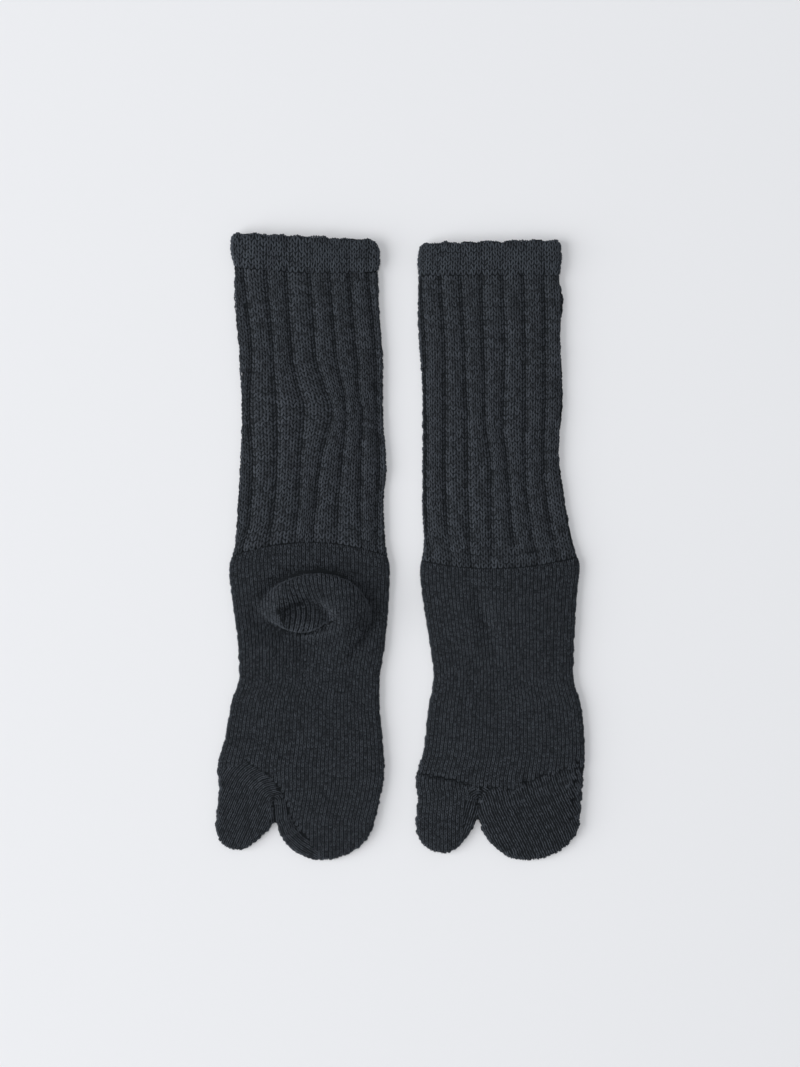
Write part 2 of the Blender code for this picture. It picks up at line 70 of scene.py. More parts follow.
SOLE_UP = Sock(
    centre=-60.0,
    sections=(
        Section(198.8, -46.0, 44.0, 8.6),
        Section(194.0, -48.8, 47.2, 9.2),
        Section(186.0, -48.6, 48.2, 9.4),
        Section(178.0, -46.2, 47.0, 8.0),
        Section(158.0, -46.6, 47.4, 7.4),
        Section(120.0, -43.6, 49.9, 7.2),
        Section(84.0, -41.6, 50.1, 7.6),
        Section(50.0, -43.1, 52.3, 7.4),
        Section(30.0, -44.6, 50.3, 7.0),
        Section(0.0, -46.3, 51.6, 7.0),
        Section(-15.0, -49.5, 54.1, 6.8),
        Section(-30.0, -48.0, 53.6, 6.8),
        Section(-66.0, -43.6, 50.6, 6.6),
        Section(-84.0, -43.0, 47.6, 6.4),
        Section(-99.0, -47.8, 47.4, 6.4),
        Section(-124.0, -52.5, 49.6, 6.6),
        Section(-143.0, -57.0, 50.6, 6.8),
        Section(-154.0, -55.8, 49.2, 6.8),
        Section(-176.4, -58.0, 44.1, 6.6),
    ),
    courses=(
        Course(198.8, -2.2, 0.3),
        Course(177.9, -1.6, -2.6),
        Course(-6.1, 0.0, 9.0),
        Course(-80.0, 0.0, 0.0),
    ),
    grooves=(
        Groove(-40.5, -34.7, -36.0, -36.2, -34.3, -36.0, -40.5),
        Groove(-25.0, -20.6, -19.5, -18.7, -18.3, -20.5, -23.5),
        Groove(-12.0, -8.6, -4.0, -1.0, -3.0, -5.0, -6.5),
        Groove(3.0, 6.8, 13.0, 17.0, 10.5, 6.0, 5.0),
        Groove(15.5, 20.2, 24.0, 26.0, 23.5, 20.5, 20.0),
        Groove(28.0, 32.8, 34.0, 36.5, 35.5, 35.0, 36.0),
        Groove(40.5, 45.2, 45.8, 45.8, 47.6, 46.0, 46.0),
    ),
    crotch=-19.2,
    big=Toe(-42.0, -194.7, 2.6, 0.5, 1.0, 0.7),
    four=Toe(11.0, -201.0, 1.6, 0.5, 1.6, 0.5),
    lumps=(
        Lump(9.0, -38.0, 34.0, 21.0, 0.0, 9.4, 9.0),       # heel cup
        Lump(25.0, -52.0, 17.0, 17.0, -20.0, 4.0, 3.0),    # its low side, fading into the sole
        Lump(25.0, -40.0, 14.0, 12.0, 0.0, 1.6, 2.0),      # its highest side
        Lump(-17.0, -166.0, 5.0, 10.0, 0.0, -1.1, 2.0),    # dip above the toe split
    ),
    creases=(
        # round the heel cup's rim
        Crease(-9.2, 3.6, 1.3, 0.0, (
            (-28.0, -33.0), (-23.0, -27.0), (-17.0, -22.8), (-7.0, -19.0), (1.0, -17.4), (9.1, -16.9),
            (18.7, -18.6), (27.0, -21.7), (33.8, -26.8), (39.0, -33.7), (41.6, -40.6), (41.4, -48.3),
            (38.3, -56.0), (32.0, -64.0), (26.0, -70.0),
        ), -2.9),
        # behind the roll of cloth that stands in the cup
        Crease(-11.0, 3.0, 8.6, 0.0, (
            (-16.0, -42.0), (-10.0, -39.2), (-4.0, -36.4), (3.0, -35.6), (9.0, -36.8), (13.5, -40.6),
            (16.0, -46.0),
        ), 1.4),
        # the hollow before that roll, and the slit where the cloth runs in under it
        Crease(-4.6, 1.2, 9.0, 0.0, (
            (-34.0, -38.0), (-28.0, -45.0), (-21.0, -50.0), (-13.0, -53.4), (-4.3, -54.8), (3.3, -54.0),
            (9.1, -51.6), (14.2, -48.6), (20.0, -46.6),
        )),
        Crease(-6.5, 1.2, 2.0, 0.0, (
            (-24.0, -48.0), (-13.0, -53.4), (-4.3, -54.8), (3.3, -54.0), (9.1, -51.6), (14.2, -48.6),
            (22.0, -46.0),
        ), 2.8),
        # the suture where the toes are knitted on, and the fold at the toe split
        Crease(-1.6, 0.9, 0.9, 3.4, (
            (-38.0, -137.0), (-25.6, -145.0), (-18.6, -150.7), (-14.7, -159.7),
            (-11.5, -167.4), (-8.3, -175.0), (-5.1, -179.5), (0.0, -186.0), (4.0, -191.0),
        )),
        Crease(-1.4, 1.2, 1.2, 0.0, (
            (-18.8, -180.0), (-19.2, -176.4), (-20.5, -163.5), (-20.0, -158.0),
        )),
    ),
    pouches=(
        Pouch(5.0, -42.0, 37.0, 26.0, -6.0, 0.3, 0.0),
        Pouch(-3.0, -41.0, 24.0, 20.0, 0.0, 0.0, 6.5),
    ),
)

INSTEP_UP = Sock(
    centre=61.5,
    sections=(
        Section(195.4, -47.0, 39.6, 8.4),
        Section(191.0, -49.6, 42.6, 9.0),
        Section(184.0, -50.4, 43.2, 9.2),
        Section(174.0, -50.0, 42.1, 8.0),
        Section(158.0, -50.5, 44.5, 7.4),
        Section(138.0, -50.0, 43.2, 7.2),
        Section(94.0, -47.5, 44.3, 7.2),
        Section(60.0, -47.5, 42.1, 7.2),
        Section(30.0, -47.7, 45.5, 7.2),
        Section(4.0, -46.6, 50.0, 7.6),
        Section(-15.0, -48.8, 54.2, 7.4),
        Section(-30.0, -47.3, 52.5, 7.2),
        Section(-66.0, -42.0, 50.5, 6.8),
        Section(-82.0, -40.0, 50.0, 6.4),
        Section(-104.0, -43.5, 55.5, 6.4),
        Section(-130.0, -46.5, 57.5, 6.6),
        Section(-152.0, -51.5, 56.0, 6.8),
        Section(-159.0, -50.0, 55.5, 6.8),
        Section(-174.5, -51.3, 54.2, 6.6),
    ),
    courses=(
        Course(195.4, 1.4, 0.3),
        Course(173.8, 0.0, 0.0),
        Course(-7.4, 1.2, -6.4),
        Course(-60.0, 0.0, 0.0),
    ),
    grooves=(
        Groove(-35.5, -32.5, -32.5, -32.5, -32.5, -31.0, -28.0),
        Groove(-22.5, -19.5, -18.8, -18.2, -18.0, -17.0, -16.0),
        Groove(-9.0, -7.5, -7.0, -6.6, -3.0, -3.0, -3.0),
        Groove(4.5, 5.8, 5.0, 4.6, 7.5, 11.0, 12.5),
        Groove(18.0, 19.0, 19.0, 19.0, 19.0, 23.0, 26.5),
        Groove(31.0, 32.0, 32.0, 31.6, 31.0, 35.5, 38.5),
    ),
    crotch=-11.4,
    big=Toe(-33.5, -196.8, 2.6, 0.5, 1.0, 0.5),
    four=Toe(20.5, -201.0, 1.2, 0.4, 1.9, 0.5),
    lumps=(
        Lump(6.0, -42.0, 36.0, 27.0, 0.0, 3.4, 3.0),       # instep over the hidden cup
        Lump(-8.0, -46.0, 5.0, 20.0, 16.0, -3.0, 2.0),     # soft trough down the instep
        Lump(4.0, 0.0, 34.0, 5.0, 0.0, 1.2, 2.0),          # ribbing bunched at the ankle
        Lump(-10.5, -164.0, 5.0, 10.0, 0.0, -1.1, 2.0),    # dip above the toe split
    ),
    creases=(
        # the seam where the toes are knitted on, partly open as small holes
        Crease(-2.4, 0.9, 0.9, 0.0, (
            (-50.0, -144.6), (-46.5, -145.4), (-34.0, -147.9), (-21.6, -150.4), (-15.0, -153.4),
        )),
        Crease(-1.4, 0.8, 0.8, 3.5, (
            (-17.5, -153.0), (-6.9, -154.2), (2.7, -154.2), (11.0, -155.8), (16.0, -153.0),
        )),
        Crease(-3.2, 1.8, 1.8, 0.0, ((16.4, -149.4), (19.3, -150.4), (23.0, -150.2))),
        Crease(-1.6, 0.9, 0.9, 3.4, (
            (22.0, -150.6), (28.3, -146.8), (35.3, -145.6), (42.3, -143.0), (46.2, -141.8),
        )),
        # the fold at the toe split, and the eyelets down the little toe's side
        Crease(-2.0, 1.2, 1.2, 0.0, ((-11.6, -170.0), (-11.4, -162.8), (-9.4, -158.4), (-3.0, -156.6))),
        Crease(-1.6, 1.2, 1.2, 4.0, (
            (54.0, -128.0), (53.0, -138.0), (51.8, -146.0), (50.4, -154.8), (49.7, -163.5),
            (48.2, -176.0),
        )),
        # the ribbing scrunched above the ankle
        Crease(-1.3, 2.0, 2.0, 0.0, ((-20.0, -4.0), (0.0, -3.6), (20.0, -3.2), (44.0, -3.0))),
    ),
    pouches=(),
)

SOCKS = {"sole_up": SOLE_UP, "instep_up": INSTEP_UP}


def smooth_curve(places, values, at):
    """A smooth line through the values, level past both ends and never overshooting."""
    order = np.argsort(places)
    places, values = np.array(places, float)[order], np.array(values, float)[order]
    slopes = np.diff(values) / np.diff(places)
    before, after = slopes[:-1], slopes[1:]
    same_way = before * after > 0
    both = np.where(same_way, before + after, 1.0)
    bends = np.where(same_way, 2 * before * after / both, 0.0)
    tangents = np.concatenate((slopes[:1], bends, slopes[-1:]))
    at = np.clip(at, places[0], places[-1])
    i = np.clip(np.searchsorted(places, at, side="right") - 1, 0, len(slopes) - 1)
    step = places[i + 1] - places[i]
    t = (at - places[i]) / step
    return (
        values[i] * (1 + 2 * t) * (1 - t) ** 2
        + values[i + 1] * t * t * (3 - 2 * t)
        + step * t * (1 - t) * (tangents[i] * (1 - t) - tangents[i + 1] * t)
    )


def section_at(sock, y):
    """Left side, right side and height of the tube at y."""
    rows = sock.sections
    places = [row.y for row in rows]
    return [smooth_curve(places, [row[k] for row in rows], y) for k in (1, 2, 3)]


def lie_of_course(sock, x, y):
    """Where a course knitted at y lies, once the tube has been laid down."""
    left, right, _ = section_at(sock, y)
    across = np.clip((2 * x - left - right) / (right - left), -1, 1)
    places = [row.y for row in sock.courses]
    tilt = smooth_curve(places, [row.tilt for row in sock.courses], y)
    bow = smooth_curve(places, [row.bow for row in sock.courses], y)
    return y + tilt * across + bow * (1 - across**2)


def off_line(line, x, y):
    """How far each place is on the left of the line, its share of the way along, and the gap."""
    points = np.array(line)
    start, run = points[:-1], np.diff(points, axis=0)
    length = np.hypot(run[:, 0], run[:, 1])
    gone = np.cumsum(length) - length
    nearest = np.full(x.shape, np.inf)
    side, share = np.zeros_like(x), np.zeros_like(x)
    away_x, away_y = np.zeros_like(x), np.zeros_like(x)
    for i in range(len(run)):
        off_x, off_y = x - start[i, 0], y - start[i, 1]
        along = np.clip((off_x * run[i, 0] + off_y * run[i, 1]) / length[i] ** 2, 0, 1)
        gap_x, gap_y = off_x - along * run[i, 0], off_y - along * run[i, 1]
        far = np.hypot(gap_x, gap_y)
        closer = far < nearest
        turned = np.sign(run[i, 0] * gap_y - run[i, 1] * gap_x)
        side = np.where(closer, turned, side)
        share = np.where(closer, (gone[i] + along * length[i]) / length.sum(), share)
        away_x, away_y = np.where(closer, gap_x, away_x), np.where(closer, gap_y, away_y)
        nearest = np.minimum(far, nearest)
    return nearest * side, share, away_x, away_y


def length_of(line):
    return sum(math.dist(a, b) for a, b in zip(line, line[1:]))


def in_oval(oval, x, y):
    """Where each place is in an oval, along it and across it, in shares of its half sizes."""
    turn = math.radians(oval.turn)
    along = (x - oval.x) * math.cos(turn) + (y - oval.y) * math.sin(turn)
    aside = (y - oval.y) * math.cos(turn) - (x - oval.x) * math.sin(turn)
    return np.hypot(along / oval.half_x, aside / oval.half_y)


FADE_POWER = 0.4        # how fast a crease runs out at its two ends
HOLE_EDGE = 0.6         # a stitch is left out where a small hole is deeper than this share
OVER_CLIMB = 2.4        # the cloth that hangs over a crease comes up within this distance
OVER_REACH = 5.0        # and lies back where it was within about twice this one


def lump_height(sock, x, y, slack=0.0):
    """How far the cloth stands up at each place.

    With slack, furrows are that much wider and have no pits, as in the ground under them.
    """
    total = np.zeros_like(x)
    for lump in sock.lumps:
        total += lump.rise * np.exp(-(in_oval(lump, x, y) ** lump.steep))
    for crease in sock.creases:
        far, share, _, _ = off_line(crease.line, x, y)
        fade = np.maximum(np.sin(math.pi * share), 0) ** FADE_POWER
        if crease.pitch and not slack:
            fade = fade * in_holes(crease, share)
        width = np.where(far > 0, crease.left_width, crease.right_width)
        if crease.rise < 0:
            width = width + slack
        total += crease.rise * fade * np.exp(-((far / width) ** 2))
    return total


def in_holes(crease, share):
    """How deep in one of a crease's row of holes each share of its line is, from 0 to 1."""
    holes = max(1, round(length_of(crease.line) / crease.pitch))
    return 0.5 - 0.5 * np.cos(2 * math.pi * holes * share)


def left_out(sock, x, y):
    """Where a stitch would fall in a small hole of the knitting."""
    missing = np.zeros(x.shape, bool)
    for crease in sock.creases:
        if crease.pitch:
            far, share, _, _ = off_line(crease.line, x, y)
            missing |= (np.abs(far) < crease.left_width) & (in_holes(crease, share) > HOLE_EDGE)
    return missing


def hung_over(sock, x, y):
    """Moves the cloth beside a deep crease out over it, as a soft roll hangs over its foot."""
    moved_x, moved_y = x, y
    for crease in sock.creases:
        if crease.over:
            far, share, away_x, away_y = off_line(crease.line, x, y)
            beside = np.maximum(far * np.sign(crease.over), 0)
            climb = np.clip(beside / OVER_CLIMB, 0, 1)
            past = np.maximum(beside - OVER_CLIMB, 0) / OVER_REACH
            part = climb**2 * (3 - 2 * climb) * np.exp(-(past**2)) * np.sin(math.pi * share)
            move = abs(crease.over) * part / np.maximum(beside, 0.01)
            moved_x, moved_y = moved_x - away_x * move, moved_y - away_y * move
    return moved_x, moved_y


def made_fuller(sock, x, y):
    """Moves places towards the rim of each pouch, which draws its rows of stitches closer."""
    for pouch in sock.pouches:
        reach = np.minimum(in_oval(pouch, x, y), 1.0)
        share = (1 - reach**2) ** 2
        push = pouch.fullness * share
        x, y = x + (x - pouch.x) * push + pouch.drift * share, y + (y - pouch.y) * push
    return x, y


def toe_sides(sock, toe, share):
    """Left and right side of a toe pocket, at a share of the way to its tip."""
    root_y = sock.sections[-1].y
    left, right, _ = section_at(sock, root_y)
    if toe is sock.big:
        right = sock.crotch
    else:
        left = sock.crotch
    y = root_y + (toe.tip_y - root_y) * share
    left = toe.tip_x + (left - toe.tip_x) * (1 - share**toe.left_power) ** toe.left_round
    right = toe.tip_x + (right - toe.tip_x) * (1 - share**toe.right_power) ** toe.right_round
    return left, right, y


ABOVE_MOUTH = 215.0     # the outline starts above the rim, so that the rim is no side of it
OUTLINE_STEP = 3.0
TOE_STEPS = 24


def outline_of(sock):
    """Points once round the lying sock: down its left side, round both toes and up again."""
    side_y = np.arange(ABOVE_MOUTH, sock.sections[-1].y, -OUTLINE_STEP)
    left, right, _ = section_at(sock, side_y)
    points = [np.stack((left, side_y), 1)]
    share = np.sin(np.linspace(0, math.pi / 2, TOE_STEPS))
    for toe in (sock.big, sock.four):
        toe_left, toe_right, toe_y = toe_sides(sock, toe, share)
        points.append(np.stack((toe_left, toe_y), 1))
        points.append(np.stack((toe_right, toe_y), 1)[-2::-1])
    points.append(np.stack((right, side_y), 1)[::-1])
    joined = np.concatenate(points)
    apart = np.linalg.norm(np.diff(joined, axis=0), axis=1) > 1e-6
    return joined[np.concatenate(([True], apart))]


OUTLINES = {sock: outline_of(sock) for sock in SOCKS.values()}
BLOCK = 4000            # places measured at a time, to spare memory
ON_OUTLINE = 0.2        # nearer than this the way in is square to the outline


def nearest_side(sock, x, y):
    """How far in from the outline each place is, the outline's nearest point, and the way in."""
    outline = OUTLINES[sock]
    start, end = outline[:-1], outline[1:]
    run = end - start
    lean = run[:, 0] / np.where(run[:, 1] == 0, 1e-9, run[:, 1])
    length = np.linalg.norm(run, axis=1)
    way_in = np.stack((-run[:, 1], run[:, 0]), 1) / length[:, None]
    place = np.stack((x.ravel(), y.ravel()), 1)
    found = []
    for block in np.array_split(place, max(1, len(place) // BLOCK)):
        off = block[:, None] - start
        share = np.clip((off * run).sum(2) / length**2, 0, 1)
        gap = off - share[..., None] * run
        far = (gap**2).sum(2)
        pick = far.argmin(1)
        each = np.arange(len(block))
        passed = (start[:, 1] > block[:, 1:]) != (end[:, 1] > block[:, 1:])
        cut_x = start[:, 0] + (block[:, 1:] - start[:, 1]) * lean
        inside = (passed & (cut_x > block[:, :1])).sum(1) % 2
        depth = np.sqrt(far[each, pick]) * (2 * inside - 1)
        near = start[pick] + share[each, pick][:, None] * run[pick]
        clear = (np.abs(depth) > ON_OUTLINE)[:, None]
        safe_depth = np.where(clear, depth[:, None], 1.0)
        inward = np.where(clear, gap[each, pick] / safe_depth, way_in[pick])
        found.append(np.concatenate((depth[:, None], near, inward), 1))
    return np.concatenate(found).T.reshape(5, *x.shape)


CROWN_REACH = 32.0      # the upper face reaches its full height this far in
CROWN_POWER = 2.4
# Knitting never lies quite even: its waves, in turns a millimetre across and down, and start
WAVES = ((0.18, 0.23, 0.0), (0.34, -0.13, 0.2), (0.07, 0.11, 0.5))
PUCKER = 0.55           # how far the waves move the rolled sides
SWELL = 0.07            # and how far they lift the upper face
RIM_RIPPLE = 1.5
RIPPLE_REACH = 12.0     # the rim's ripple runs out this far down
LEAST_TOP = 2.3         # no furrow sinks the upper face below this height


def waves(x, y):
    turns = [np.sin(2 * math.pi * (x * across + y * down + start)) for across, down, start in WAVES]
    return sum(turns) / len(WAVES)


def fold(sock, face, x, y, roll, slack=0.0):
    """Lays flat cloth at (x, y) on the sock's upper (1) or under (-1) face.

    Near the outline the cloth rolls round the side, with the radius roll.
    """
    depth, near_x, near_y, in_x, in_y = nearest_side(sock, x, y)
    spare = (math.pi / 2 - 1) * roll
    angle = np.clip((depth + spare) / roll, -math.pi / 2, math.pi / 2)
    on_roll = angle < math.pi / 2
    pucker = PUCKER * waves(near_x, near_y) * np.cos(angle)
    drawn_in = roll * (1 - np.cos(angle)) + pucker
    plan_x = np.where(on_roll, near_x + in_x * drawn_in, x)
    plan_y = np.where(on_roll, near_y + in_y * drawn_in, y)
    _, _, height = section_at(sock, plan_y)
    to_crown = np.clip((depth - roll) / CROWN_REACH, 0, 1)
    lying_y = lie_of_course(sock, plan_x, plan_y)
    if face > 0:
        plan_x, lying_y = made_fuller(sock, plan_x, lying_y)
    top = 2 * roll + (height - 2 * roll) * (1 - (1 - to_crown) ** CROWN_POWER)
    if face > 0:
        top = top + lump_height(sock, plan_x, lying_y, slack) + SWELL * waves(plan_x, lying_y)
        top = np.maximum(top, LEAST_TOP)
        plan_x, lying_y = hung_over(sock, plan_x, lying_y)
    to_rim = np.clip(1 - (sock.sections[0].y - plan_y) / RIPPLE_REACH, 0, 1)
    lying_y = lying_y + RIM_RIPPLE * to_rim * waves(plan_x, np.zeros_like(plan_x))
    z = 0.5 * top * (1 + face * np.sin(angle))
    return np.stack((sock.centre + plan_x, lying_y, z), -1)


NUDGE = 0.4             # slopes are measured over twice this distance


def surface(sock, face, x, y, roll, slack=0.0):
    """The place of flat cloth on the lying sock, and the way out of the sock there."""

    def laid(right, up):
        return fold(sock, face, x + right, y + up, roll, slack)

    across = laid(NUDGE, 0) - laid(-NUDGE, 0)
    along = laid(0, NUDGE) - laid(0, -NUDGE)
    out = face * np.cross(across, along)
    out /= np.linalg.norm(out, axis=-1, keepdims=True)
    return laid(0, 0), out


def round_the_tube(sock, y, lap, roll, slack=0.0):
    """Places and outward ways of points round the tube, each at its y and its share of a lap.

    A lap starts at the left side, crosses the upper face and comes back underneath.
    """
    left, right, _ = section_at(sock, y)
    spare = (math.pi / 2 - 1) * roll
    width = right - left + 2 * spare
    lap = np.mod(lap, 2 * width)
    over = lap < width
    x = left - spare + np.where(over, lap, 2 * width - lap)
    rows = np.broadcast_to(y, x.shape)
    upper, upper_out = surface(sock, 1, x, rows, roll, slack)
    under, under_out = surface(sock, -1, x, rows, roll)
    over = over[..., None]
    return np.where(over, upper, under), np.where(over, upper_out, under_out)


EDGE_ROLL = 2.8         # the cloth rolls round each side with this radius
RIBS = 15               # once round the tube
RIB_DEPTH = 2.1
RIBS_FADE = ((-8.0, 18.0), (0.4, 1.0))       # towards the ankle the ribs lie flatter
LEG_WALE = 2.9
LEG_COURSE = 2.8
LEG_EDGES = np.array((0.0, 0.25, 0.5, 0.75, 1.0))       # of a rib's four wales


def rib_laps(sock, y, roll):
    """Where each purl groove cuts each row, as a distance round the tube."""
    left, right, _ = section_at(sock, y)
    spare = (math.pi / 2 - 1) * roll
    width = right - left + 2 * spare
    seen = [smooth_curve(STATIONS, groove, y) - left + spare for groove in sock.grooves]
    seen = np.stack(seen, 1)
    hidden = RIBS - len(sock.grooves) + 1
    share = np.linspace(0, 1, hidden + 1)[1:]
    back = 2 * width + seen[:, 0] - seen[:, -1]
    return np.concatenate((seen, seen[:, -1:] + back[:, None] * share), 1)


def ribbed_rows(sock, y, roll, edges, depth, slack=0.0):
    """Places round ribbed rows at the shares of a rib in edges, sunk towards the grooves."""
    grooves = rib_laps(sock, y, roll)
    span = np.diff(grooves, axis=1)[..., None]
    lap = (grooves[:, :-1, None] + span * edges).reshape(len(y), -1)
    place, out = round_the_tube(sock, y[:, None], lap, roll, slack)
    deep = depth * smooth_curve(*RIBS_FADE, y)
    relief = -deep[:, None] * np.abs(2 * np.tile(edges, RIBS) - 1) ** 3
    return place, out, relief[:, :, None]


def colour(code):
    """A screen colour such as 2E3338 as the linear colour a shader works in."""
    parts = [int(code[i : i + 2], 16) / 255 for i in (0, 2, 4)]
    return [c / 12.92 if c <= 0.04045 else ((c + 0.055) / 1.055) ** 2.4 for c in parts] + [1.0]


def add_node(tree, kind, values=(), **settings):
    """Adds a node, with its settings and its inputs' values or links."""
    node = tree.nodes.new(kind)
    for name, setting in settings.items():
        setattr(node, name, setting)
    for key, value in dict(values).items():
        socket = node.inputs[key]
        if isinstance(value, bpy.types.NodeSocket):
            tree.links.new(value, socket)
        else:
            socket.default_value = value
    return node


def new_material(name, values):
    """A material and its node tree, with these values in its Principled shader."""
    material = bpy.data.materials.new(name)
    material.use_nodes = True
    for key, value in values.items():
        material.node_tree.nodes["Principled BSDF"].inputs[key].default_value = value
    return material, material.node_tree


SLUB_SCALE = 700.0      # the yarn's thick and thin places, one each 1.4 mm


# Charcoal cotton yarn: several soft plies twisted together, dyed before knitting. It is
# matt, with a faint bloom of fibre ends that lightens it where it is seen edge on.
def cotton_yarn(name, dark, light):
    material, tree = new_material(name, {
        "Roughness": 0.85,
        "Specular IOR Level": 0.25,
        "Sheen Weight": 0.15,
        "Sheen Tint": colour("B4C0CE"),
        "Sheen Roughness": 0.5,
    })
    shade = add_node(tree, "ShaderNodeAttribute", attribute_name="shade")
    place = add_node(tree, "ShaderNodeTexCoord")
    slub = add_node(
        tree,
        "ShaderNodeTexNoise",
        {"Vector": place.outputs["Object"], "Scale": SLUB_SCALE, "Detail": 1.0},
    )
    even = add_node(
        tree, "ShaderNodeMapRange", {"Value": slub.outputs["Fac"], "From Min": 0.3, "From Max": 0.7}
    )
    factor = add_node(
        tree,
        "ShaderNodeMix",
        {"Factor": 0.5, "A": shade.outputs["Fac"], "B": even.outputs["Result"]},
        data_type="FLOAT",
    )
    mix = add_node(tree, "ShaderNodeMix", {"Factor": factor.outputs["Result"]}, data_type="RGBA")
    mix.inputs["A"].default_value = colour(dark)
    mix.inputs["B"].default_value = colour(light)
    tree.links.new(mix.outputs["Result"], tree.nodes["Principled BSDF"].inputs["Base Color"])
    return material


LOOP = cotton_yarn("charcoal cotton yarn", "14171B", "3F444B")
# The inner loops of the same yarn, coloured darker than the stitches as painted shade, so that the ground
# between the stitches reads as shaded
SHADED_GROUND, _ = new_material(
    "charcoal cotton ground in painted shade",
    {"Base Color": colour("1A1D20"), "Roughness": 0.95, "Specular IOR Level": 0.1},
)

MM = 0.001


def new_object(name, places, faces, material):
    data = bpy.data.meshes.new(name)
    data.from_pydata((np.asarray(places) * MM).tolist(), [], [tuple(face) for face in faces])
    data.materials.append(material)
    data.shade_smooth()
    made = bpy.data.objects.new(name, data)
    bpy.context.scene.collection.objects.link(made)
    return made


def band_faces(first, second):
    """Quads between two closed rows of points."""
    return np.stack((first, np.roll(first, -1), np.roll(second, -1), second), 1)


def wall_object(name, outer, inner, material):
    """Cloth with an outer and an inner skin, as rows of points, closed at both rims."""
    rows, around = outer.shape[:2]
    number = np.arange(2 * rows * around).reshape(2 * rows, around)
    skins = [number[:rows], number[rows:]]
    faces = [band_faces(skins[0][i + 1], skins[0][i]) for i in range(rows - 1)]
    faces += [band_faces(skins[1][i], skins[1][i + 1]) for i in range(rows - 1)]
    faces.append(band_faces(skins[0][0], skins[1][0]))
    faces.append(band_faces(skins[1][-1], skins[0][-1]))
    places = np.concatenate((outer, inner)).reshape(-1, 3)
    return new_object(name, places, np.concatenate(faces), material)


# One knitted stitch: the two legs of its loop, each a half-round strand that rises out of
# the stitch below, leans outwards and dives under the next. Its sizes are shares of a
# wale across and of a course along.
Station = namedtuple("Station", "x y z half_width rise")
BROAD_LOOP = (
    Station(0.11, -0.72, -0.22, 0.07, 0.05),
    Station(0.17, -0.34, -0.07, 0.16, 0.18),
    Station(0.31, 0.24, -0.05, 0.17, 0.20),
    Station(0.40, 0.68, -0.24, 0.08, 0.05),
)


def make_stitch(name, stations):
    """The unit stitch, a V with its point towards the toes."""
    places, faces = [], []
    for side in (-1, 1):
        first = len(places)
        for s in stations:
            for part, lift in ((-1, 0.0), (0, s.rise), (1, 0.0)):
                places.append((side * (s.x + part * s.half_width), s.y, s.z + lift))
        for row in range(len(stations) - 1):
            for column in (0, 1):
                a = first + 3 * row + column
                quad = [a, a + 1, a + 4, a + 3]
                faces.append(quad if side > 0 else quad[::-1])
    data = bpy.data.meshes.new(name)
    data.from_pydata(places, [], faces)
    data.shade_smooth()
    return bpy.data.objects.new(name, data)


BROAD_STITCH = make_stitch("broad stitch", BROAD_LOOP)


def knitting_tree():
    """Geometry Nodes that put one stitch on each seat, stretched to fill its place.

    A seat is a point with the attributes across, along and out, which say how far its
    place in the knit reaches and which way is out of the cloth.
    """
    tree = bpy.data.node_groups.new("knit stitches on seats", "GeometryNodeTree")
    for name, kind in (
        ("Seats", "NodeSocketGeometry"),
        ("Stitch", "NodeSocketObject"),
        ("Yarn", "NodeSocketMaterial"),
        ("Unevenness", "NodeSocketFloat"),
        ("Seed", "NodeSocketInt"),
    ):
        tree.interface.new_socket(name, in_out="INPUT", socket_type=kind)
    tree.interface.new_socket("Knit", in_out="OUTPUT", socket_type="NodeSocketGeometry")
    given = tree.nodes.new("NodeGroupInput").outputs
    shape = add_node(tree, "GeometryNodeObjectInfo", {"Object": given["Stitch"]})
    stitches = add_node(
        tree,
        "GeometryNodeInstanceOnPoints",
        {"Points": given["Seats"], "Instance": shape.outputs["Geometry"]},
    )
    vectors = []
    for name in ("across", "along", "out"):
        read = add_node(
            tree, "GeometryNodeInputNamedAttribute", {"Name": name}, data_type="FLOAT_VECTOR"
        )
        length = add_node(
            tree, "ShaderNodeVectorMath", {0: read.outputs["Attribute"]}, operation="LENGTH"
        )
        vectors.append((read.outputs["Attribute"], length.outputs["Value"]))
    place = tree.nodes.new("GeometryNodeInputPosition")
    vectors.append((place.outputs["Position"], length.outputs["Value"]))
    matrix = tree.nodes.new("FunctionNodeCombineMatrix")
    for column, (vector, size) in enumerate(vectors):
        seed = add_node(tree, "ShaderNodeMath", {0: given["Seed"], 1: float(column)}, operation="ADD")
        drawn = add_node(
            tree,
            "FunctionNodeRandomValue",
            {"Seed": seed.outputs[0], 0: (-1.0,) * 3, 1: (1.0,) * 3},
            data_type="FLOAT_VECTOR",
        )
        uneven = add_node(
            tree,
            "ShaderNodeVectorMath",
            {0: drawn.outputs[0], "Scale": given["Unevenness"]},
            operation="SCALE",
        )
        shift = add_node(
            tree, "ShaderNodeVectorMath", {0: uneven.outputs["Vector"], "Scale": size}, operation="SCALE"
        )
        moved = add_node(
            tree, "ShaderNodeVectorMath", {0: vector, 1: shift.outputs["Vector"]}, operation="ADD"
        )
        split = add_node(tree, "ShaderNodeSeparateXYZ", {0: moved.outputs["Vector"]})
        for row in range(3):
            tree.links.new(split.outputs[row], matrix.inputs[4 * column + row])
    placed = add_node(
        tree,
        "GeometryNodeSetInstanceTransform",
        {"Instances": stitches.outputs["Instances"], "Transform": matrix.outputs["Matrix"]},
    )
    tone = add_node(tree, "FunctionNodeRandomValue", {"Seed": given["Seed"]}, data_type="FLOAT")
    toned = add_node(
        tree,
        "GeometryNodeStoreNamedAttribute",
        {"Geometry": placed.outputs["Instances"], "Name": "shade", "Value": tone.outputs[1]},
        data_type="FLOAT",
        domain="INSTANCE",
    )
    real = add_node(tree, "GeometryNodeRealizeInstances", {"Geometry": toned.outputs["Geometry"]})
    dyed = add_node(
        tree, "GeometryNodeSetMaterial", {"Geometry": real.outputs["Geometry"], "Material": given["Yarn"]}
    )
    add_node(tree, "NodeGroupOutput", {"Knit": dyed.outputs["Geometry"]})
    return tree


